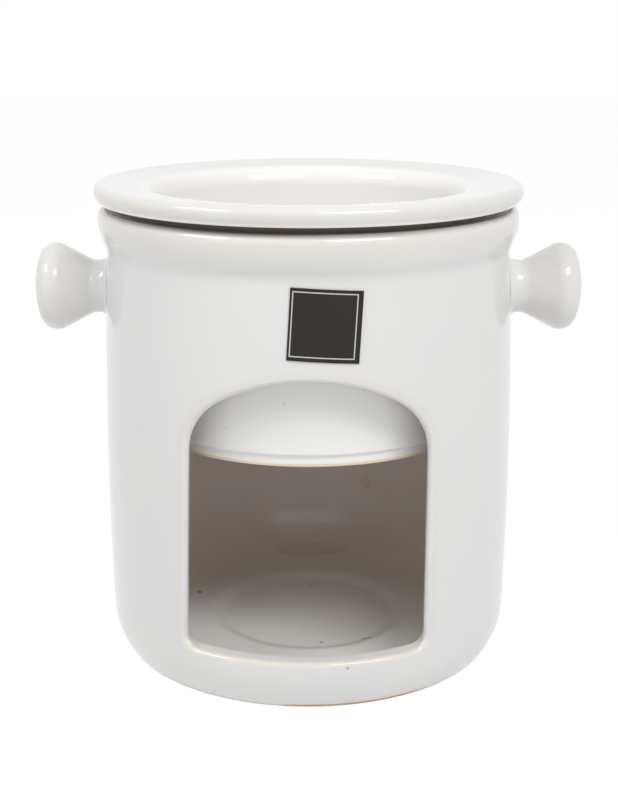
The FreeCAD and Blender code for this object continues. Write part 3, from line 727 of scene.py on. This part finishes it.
class Paint(Nodes):
    """A material whose nodes read places on the object in millimetres."""

    def __init__(self, name):
        self.material = bpy.data.materials.new(name)
        self.material.use_nodes = True
        super().__init__(self.material.node_tree)
        self.shader = self.tree.nodes["Principled BSDF"]
        self.spot = self.node("TexCoord", {}, out="Object")

    def blend(self, share, first, second):
        """Colour between first and second."""
        made = self.tree.nodes.new("ShaderNodeMix")
        made.data_type = "RGBA"
        self.put(made.inputs[0], share)
        for socket, colour in zip(made.inputs[6:8], (first, second)):
            self.put(socket, colour if isinstance(colour, Value) else (*colour, 1.0))
        return Value(self, made.outputs[2])

    def noise(self, size, detail=2.0):
        """Cloudy noise from 0 to 1 whose blots are about size mm wide."""
        return self.node("TexNoise", {}, Vector=self.spot, Scale=METRE / size, Detail=detail)

    def axes(self):
        """x, y and z in millimetres."""
        return self.split(self.node("VectorMath", {"operation": "SCALE"}, self.spot, Scale=METRE))

    def blot(self, place, size):
        """1 inside a ragged spot of that size in mm about a place, 0 outside."""
        centre = tuple(part * MM for part in place)
        away = self.node("VectorMath", {"operation": "DISTANCE"}, self.spot, centre, out="Value")
        uneven = (self.noise(size * 0.8) - 0.5) * (0.6 * size)
        return (away * METRE + uneven).fall(size * 0.55, size)

    def finish(self, **sockets):
        """Feed the shader's own sockets; underscores stand for spaces."""
        for key, content in sockets.items():
            self.put(self.shader.inputs[key.replace("_", " ")], content)
        return self.material


# glazes, and painted light, highlight and shade on them
WHITE = (0.81, 0.805, 0.793)
COOL_WHITE = (0.795, 0.797, 0.792)
# Painted light: a whiter copy of the glaze, for the bowl's wall in the stand and the chamber
# floor's front.
PAINTED_LIGHT_WHITE = (0.94, 0.937, 0.925)
# Painted light: the bowl's cavity whiter than its outside.
PAINTED_CAVITY_LIGHT = (0.95, 0.935, 0.91)
# Painted highlight along the lower edge of the bowl's rim.
PAINTED_EDGE_HIGHLIGHT = (0.97, 0.96, 0.94)
THIN_GLAZE = (0.80, 0.60, 0.41)
CREAM = (0.83, 0.75, 0.64)
# Painted shade, warm, on the knobs.
PAINTED_KNOB_SHADE = (0.80, 0.755, 0.69)
# Painted shade of the crevice under the bowl's rim.
PAINTED_CREVICE_SHADE = (0.25, 0.22, 0.185)
# candle chamber
PALE_SMOKE = (0.82, 0.765, 0.725)
DARK_SMOKE = (0.79, 0.732, 0.690)
FLOOR_BACK = (0.78, 0.76, 0.735)
# A faint dark oval on the chamber floor near the back wall.
DARK_OVAL = (0.52, 0.44, 0.37)
# clay and specks, and the painted shade in the gap under the rim
BARE_CLAY = (0.60, 0.43, 0.27)
PALE_CLAY = (0.85, 0.71, 0.53)
# Near-black painted shade in the gap between the stand's lip and the bowl's rim.
PAINTED_SEAT_SHADE = (0.23, 0.19, 0.155)
BROWN_SPECK = (0.42, 0.22, 0.08)
TAN_SPECK = (0.62, 0.40, 0.14)
GREY_SPECK = (0.30, 0.29, 0.28)
# label
BLACK_PAPER = (0.020, 0.016, 0.014)
WORN_PAPER = (0.028, 0.024, 0.021)
LINE_WHITE = (0.78, 0.76, 0.72)
# studio
CAMERA_PITCH = 15.534
LAMP_TARGET = (0.0, 0.0, 0.09)
FLOOR_REACH = 3.0
FLOOR_WHITE = (0.86, 0.86, 0.86, 1.0)
FULL_WHITE = (1.0, 1.0, 1.0, 1.0)


def glaze_bump(paint):
    """The slight waves and pits that a dipped glaze keeps."""
    waves = paint.noise(26.0, 1.0)
    pits = paint.noise(1.6)
    soft = paint.node("Bump", {}, Strength=0.25, Distance=0.0006, Height=waves)
    return paint.node("Bump", {}, Strength=0.06, Distance=0.0001, Height=pits, Normal=soft)


def paint_spots(paint, colour, spots):
    """Specks over a colour: each is (speck colour, place, size, strength)."""
    for speck, place, size, strength in spots:
        colour = paint.blend(paint.blot(place, size) * strength, colour, speck)
    return colour


def new_glaze(name, cloud_size):
    """A white glaze with faint clouds of that size in mm: its paint, x, y, z and radius in mm,
    and the colour so far."""
    paint = Paint(name)
    x, y, z = paint.axes()
    radius = (x * x + y * y) ** 0.5
    colour = paint.blend(paint.noise(cloud_size, 3.0).rise(0.35, 0.65), WHITE, COOL_WHITE)
    return paint, x, y, z, radius, colour


def finished_glaze(paint, colour, bare):
    """The material: glossy glaze, and dull clay where bare is 1."""
    rough = 0.10 + paint.noise(9.0) * 0.06 + bare * 0.6
    return paint.finish(Base_Color=colour, Roughness=rough, Normal=glaze_bump(paint), IOR=1.5)


def chamber_tint(paint, x, y, z, radius, colour):
    """Smoke on the chamber's wall, which on the floor starts along the edge of the bowl's shadow
    and so is partly a painted shadow; a floor painted lighter in front, a painted pool of the light
    through the window, and greyer behind; and a faint dark oval where the floor turns up to the
    back wall."""
    chamber = radius.fall(60.2, 61.0) * z.rise(1.5, 3.0)
    haze = paint.noise(18.0, 3.0)
    smoke = paint.blend(haze.rise(0.3, 0.7), PALE_SMOKE, DARK_SMOKE)
    # Painted light: the floor lighter in front, where light falls in through the window.
    floor = paint.blend(y.rise(-25.0, 25.0), PAINTED_LIGHT_WHITE, FLOOR_BACK)
    # Smoke on the wall, and on the floor behind the curved edge of the bowl's shadow: partly a
    # painted shadow.
    smoke_and_shadow = (y + x * x / 112.0 + (haze - 0.5) * 3.0).rise(33.5, 37.0).most(z.rise(7.0, 9.0))
    colour = paint.blend(chamber, colour, paint.blend(smoke_and_shadow, floor, smoke))
    across, deep = x - 0.5, y - 49.5
    mark = (across * across / 230.0 + deep * deep / 14.0) ** 0.5
    mark = (mark + (haze - 0.5) * 0.9).fall(0.6, 1.1) * y.rise(38.0, 42.0) * z.fall(9.0, 10.0)
    return paint.blend(mark * 0.28, colour, DARK_OVAL)


def window_tint(paint, x, z, radius, uneven, colour):
    """Cream glaze beside the window's edge and along its sill, and thin glaze in patches on
    the crest of the edge."""
    gap = paint.node("Attribute", {"attribute_name": "window_gap"}, out="Fac")
    outside = radius.rise(62.0, 63.0)
    sill = z.fall(17.0, 20.0)
    beside = gap.rise(0.8, 1.4) * (gap + (uneven - 0.5) * 1.2).fall(2.3, 3.2) * (1.0 - sill)
    beside = beside * (0.3 + x.fall(-34.0, -30.0) * 0.25)
    along = (gap + (uneven - 0.5) * 1.6).fall(0.4, 1.5) * sill
    colour = paint.blend((beside + along * 0.6) * outside, colour, CREAM)
    crest = (gap + (uneven - 0.5) * 1.2).fall(0.2, 1.0) * uneven.rise(0.5, 0.7)
    return paint.blend(crest * 0.3, colour, THIN_GLAZE)


def lip_tint(paint, x, z, radius, uneven, colour):
    """Painted shade that makes the knobs beige, a cream lip, and painted shade in the crevice under
    the bowl's rim, which fades towards both ends, with near-black painted shade on the lip's top."""
    patches = uneven.rise(0.35, 0.65)
    # Painted shade: the knobs darker and warmer, in patches.
    knobs = (x * x).rise(66.0 ** 2, 69.0 ** 2)
    colour = paint.blend(knobs * (0.25 + patches * 0.25), colour, PAINTED_KNOB_SHADE)
    lip = z.rise(133.0, 138.0) * radius.rise(62.0, 63.0)
    colour = paint.blend(lip * (0.25 + patches * 0.2), colour, CREAM)
    # Painted shade under the bowl's rim, strongest left of the middle, weaker on the right and at
    # the far left.
    shade = z.rise(140.7, 142.2) * radius.rise(60.0, 60.5)
    shade = shade * (0.6 + x.fall(-10.0, 15.0) * 0.25 - x.rise(15.0, 45.0) * 0.3)
    shade = shade * (1.0 - x.fall(-52.0, -28.0) * 0.45)
    colour = paint.blend(shade, colour, PAINTED_CREVICE_SHADE)
    # Near-black painted shade on the lip's land and crest, in the gap under the rim.
    seat_shade = z.rise(141.9, 142.3) * radius.fall(63.0, 63.9)
    return paint.blend(seat_shade, colour, PAINTED_SEAT_SHADE)


def stand_glaze():
    """White glaze that thins to cream on the edges, greyer inside the candle chamber, with painted
    light and shadow on the chamber's floor and painted shade on the knobs and under the bowl's rim,
    a bare clay foot that reaches highest at the front, and a few iron specks."""
    paint, x, y, z, radius, colour = new_glaze("stand glaze", 34.0)
    uneven = paint.noise(7.0)
    colour = chamber_tint(paint, x, y, z, radius, colour)
    colour = window_tint(paint, x, z, radius, uneven, colour)
    colour = lip_tint(paint, x, z, radius, uneven, colour)
    warm_side = x.rise(-12.0, -2.0) * x.fall(30.0, 42.0) * y.fall(-40.0, -30.0)
    foot = (z - warm_side * 0.7 + (paint.noise(5.0, 3.0) - 0.5) * 0.6).fall(0.15, 0.55)
    colour = paint.blend(foot, colour, BARE_CLAY)
    colour = paint_spots(paint, colour, [
        (BROWN_SPECK, (-37.9, 12.9, 5.5), 1.2, 0.8),
        (GREY_SPECK, (1.1, 22.5, 4.0), 0.6, 0.7),
        (TAN_SPECK, (4.2, -24.4, 4.0), 0.8, 0.8),
        (TAN_SPECK, (18.0, -22.6, 4.4), 1.1, 0.9),
        (TAN_SPECK, (19.6, -22.2, 4.5), 1.0, 0.9),
        (BROWN_SPECK, (11.5, -63.5, 14.2), 0.6, 0.6),
        (TAN_SPECK, (21.2, 56.1, 31.0), 2.6, 0.3),
        (GREY_SPECK, (-31.6, -56.6, 99.9), 0.4, 0.6),
    ])
    return finished_glaze(paint, colour, foot)


def bowl_glaze():
    """The same glaze on the bowl: painted light that whitens the wall that hangs in the stand and
    the cavity, cream in patches on the rim's edge, a painted highlight along the rim's lower edge,
    painted shade in the crevice, with a bare clay foot."""
    paint, x, _, z, radius, colour = new_glaze("bowl glaze", 30.0)
    # Painted light: the wall that hangs in the stand whiter than the outer glaze.
    wall = radius.rise(51.5, 51.9) * radius.fall(54.5, 56.0) * z.fall(140.0, 142.0)
    colour = paint.blend(wall, colour, PAINTED_LIGHT_WHITE)
    # Painted light: the cavity whiter still.
    cavity = radius.fall(49.5, 53.5) * z.rise(78.0, 80.0) * (1.0 - wall)
    colour = paint.blend(cavity, colour, PAINTED_CAVITY_LIGHT)
    edge = radius.rise(64.6, 66.2) * paint.noise(7.0).rise(0.35, 0.62)
    colour = paint.blend(edge * 0.4, colour, CREAM)
    # Painted highlight: the rim's down-facing lower edge made brighter.
    edge_highlight = z.fall(144.8, 145.4) * radius.rise(64.7, 65.0)
    colour = paint.blend(edge_highlight, colour, PAINTED_EDGE_HIGHLIGHT)
    # Painted shade on the bowl's underside in the gap over the lip, weaker towards the sides.
    seat_shade = z.rise(140.5, 141.5) * z.fall(144.21, 144.26)
    seat_shade = seat_shade * radius.rise(56.0, 57.0) * radius.fall(65.0, 65.1)
    seat_shade = seat_shade * (1.0 - (x * x).rise(1600.0, 3600.0) * 0.35)
    colour = paint.blend(seat_shade, colour, PAINTED_SEAT_SHADE)
    foot = (z + (paint.noise(6.0, 3.0) - 0.5) * 0.5).fall(73.1, 73.8)
    colour = paint.blend(foot, colour, PALE_CLAY)
    bare = z.fall(72.5, 72.7)
    colour = paint.blend(bare, colour, BARE_CLAY)
    colour = paint_spots(paint, colour, [
        (TAN_SPECK, (-1.1, -49.7, 148.4), 0.8, 0.9),
        (TAN_SPECK, (35.9, -55.4, 146.9), 0.6, 0.6),
        (GREY_SPECK, (-6.9, -53.2, 91.9), 0.5, 0.42),
        (GREY_SPECK, (-24.2, -47.8, 83.1), 0.5, 0.42),
        (GREY_SPECK, (-16.8, -50.9, 81.3), 0.5, 0.42),
        (GREY_SPECK, (15.8, -51.2, 95.5), 0.4, 0.42),
    ])
    return finished_glaze(paint, colour, bare)


def label_paper():
    """Black printed paper with a thin white line set in from its edge."""
    paint = Paint("label paper")
    across, up, _ = paint.split(paint.node("UVMap", {"uv_map": "print"}, out="UV"))
    thin = LABEL_LINE / LABEL_SIZE
    left, right, low, high = (margin / LABEL_SIZE for margin in LABEL_MARGINS)
    depth = (across - left).least(1 - right - across).least((up - low).least(1 - high - up))
    soft = thin * 0.3
    ring = depth.rise(-soft, soft) * depth.fall(thin - soft, thin + soft)
    fleck = paint.noise(1.2, 3.0)
    black = paint.blend(fleck, BLACK_PAPER, WORN_PAPER)
    colour = paint.blend(ring * (0.7 + fleck * 0.3), black, LINE_WHITE)
    bump = paint.node("Bump", {}, Strength=0.2, Distance=0.00005, Height=paint.noise(0.5, 3.0))
    rough = 0.5 + fleck * 0.15
    return paint.finish(Base_Color=colour, Roughness=rough, Normal=bump, Specular_IOR_Level=0.25)


def pale_floor():
    """A pale floor that shows white to the camera and in gloss, and keeps the shadow."""
    paint = Paint("pale floor")
    nodes = paint.tree.nodes
    nodes.remove(paint.shader)
    matte = paint.node("BsdfDiffuse", {}, Color=FLOOR_WHITE)
    glow = paint.node("Emission", {}, Color=FULL_WHITE, Strength=1.05)
    mixed = paint.node("MixShader", {}, paint.shown() * 0.9, matte, glow)
    paint.put(nodes["Material Output"].inputs["Surface"], mixed)
    return paint.material


def white_world(light):
    """Even studio light of that strength, which shows as plain white to the camera and in
    gloss."""
    world = bpy.data.worlds.new("white studio")
    bpy.context.scene.world = world
    world.use_nodes = True
    nodes = Nodes(world.node_tree)
    backdrop = nodes.tree.nodes["Background"]
    strength = nodes.node("MapRange", {}, nodes.shown(), 0.0, 1.0, light, 1.0)
    nodes.put(backdrop.inputs["Strength"], strength)
    nodes.put(backdrop.inputs["Color"], FULL_WHITE)


def add_lamp(name, place, size, power):
    """A softbox that faces the middle of the pot: place and size in metres, power in watts."""
    data = bpy.data.lights.new(name, "AREA")
    data.shape = "RECTANGLE"
    data.size, data.size_y = size
    data.energy = power
    away = np.array(place) - np.array(LAMP_TARGET)
    piece = placed(name, data)
    piece.location = place
    turn = math.atan2(away[0], -away[1])
    tilt = math.acos(away[2] / np.linalg.norm(away))
    piece.rotation_euler = (tilt, 0.0, turn)


def add_camera():
    """The photograph's view: from 442 mm in front of the axis and 201 mm above the table,
    looking 15.5 degrees down."""
    data = bpy.data.cameras.new("camera")
    data.lens = 63.47
    data.sensor_width = 36.0
    piece = placed("camera", data)
    piece.location = (0.00015, -0.4417, 0.2011)
    piece.rotation_euler = (math.radians(90 - CAMERA_PITCH), 0.0, 0.0)
    bpy.context.scene.camera = piece


def add_floor():
    """A wide level floor under the foot."""
    mesh = bpy.data.meshes.new("floor")
    far = FLOOR_REACH
    corners = [(-far, -far, 0), (far, -far, 0), (far, far, 0), (-far, far, 0)]
    mesh.from_pydata(corners, [], [(0, 1, 2, 3)])
    mesh.materials.append(pale_floor())
    placed("floor", mesh)


add_camera()
for piece, node, slot, finish in (
    (make_stand(), "stand", "glaze", stand_glaze()),
    (make_bowl(), "bowl", "glaze", bowl_glaze()),
    (make_label(), "label", "label", label_paper()),
):
    piece.data.materials.append(finish)
    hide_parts(node)
    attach(piece, "root")
add_floor()
white_world(0.48)
add_lamp("key softbox", (0.416, -0.665, 0.931), (0.62, 0.34), 5.6)
add_lamp("left softbox", (-0.756, -0.336, 0.889), (0.46, 0.26), 3.4)

bpy.context.scene.view_settings.view_transform = "Standard"
